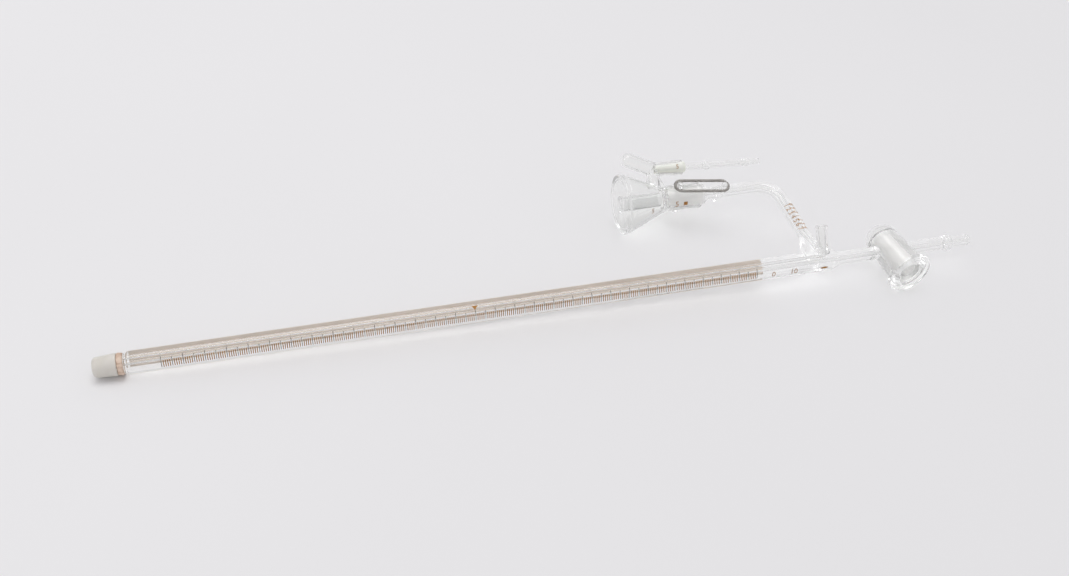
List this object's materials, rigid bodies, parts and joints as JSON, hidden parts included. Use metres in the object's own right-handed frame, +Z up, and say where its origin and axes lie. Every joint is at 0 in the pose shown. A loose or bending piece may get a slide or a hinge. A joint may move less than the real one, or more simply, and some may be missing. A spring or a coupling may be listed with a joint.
{
  "type": "compact gas manometer with reaction flask",
  "caption": "Glass rod manometer with a printed scale, opal back, stopcock, open limb and a side arm holding a small conical flask by a ground joint and sprung loop.",
  "frame": {"origin": "bottom centre of the bounding box, as the instrument lies on a bench", "axes": "+X along the scale body towards the stopcock, +Y away from the operator, who faces the scale, +Z up"},
  "size_m": [0.4582, 0.1043, 0.0393],
  "materials": {
    "clear_glass": "clear fire-polished borosilicate",
    "ground_glass": "ground, frosted",
    "green_ground_glass": "ground, slightly green",
    "opal_glass": "opal white, fused",
    "milky_glass": "milky, frosted",
    "brown_seal": "dried, cracked",
    "spring_steel": "close-coiled wire",
    "amber_print": "fired amber stain, thin"
  },
  "bodies": {
    "manometer": {"scale_body": "clear_glass", "opal_back": "opal_glass", "body_head": "clear_glass", "bottom_cone": "clear_glass", "cap_seal": "brown_seal", "link_capillary": "clear_glass", "stopcock_barrel": "ground_glass", "barrel_dome": "clear_glass", "outlet_tube": "clear_glass", "open_limb": "clear_glass", "arm_foot": "clear_glass", "arm_capillary": "clear_glass", "arm_bend": "clear_glass", "arm_run": "clear_glass", "male_cone": "ground_glass", "arm_hooks": "clear_glass", "spring_loop": "spring_steel"},
    "plug": {"stopcock_plug": "ground_glass", "cross_tube": "clear_glass", "plug_head": "ground_glass"},
    "cap": {"reservoir_cap": "milky_glass"},
    "flask": {"flask_socket": "ground_glass", "flask_body": "clear_glass", "centre_well": "clear_glass", "side_bulb": "clear_glass", "side_socket": "ground_glass", "side_link": "clear_glass", "flask_hooks": "clear_glass"},
    "stopper": {"stopper_cone": "green_ground_glass", "vent_tube": "clear_glass"}
  },
  "joints": [
    {"name": "plug_turn", "type": "hinge", "parent": "manometer", "child": "plug", "pos_m": [0.18241, -0.03209, 0.01369], "axis": [-0.1059, 0.9903, 0.0898], "continuous": true},
    {"name": "cap_pull", "type": "slide", "parent": "manometer", "child": "cap", "axis": [-0.9998, 0, -0.0202], "range_m": [0, 0.012]},
    {"name": "flask_pull", "type": "slide", "parent": "manometer", "child": "flask", "axis": [-0.9998, 0, -0.0202], "range_m": [0, 0.022], "deforming": ["spring_loop"]},
    {"name": "stopper_turn", "type": "hinge", "parent": "flask", "child": "stopper", "pos_m": [0.07005, 0.04354, 0.03031], "axis": [0.9997, -0.0246, -0.0092], "continuous": true}
  ]
}
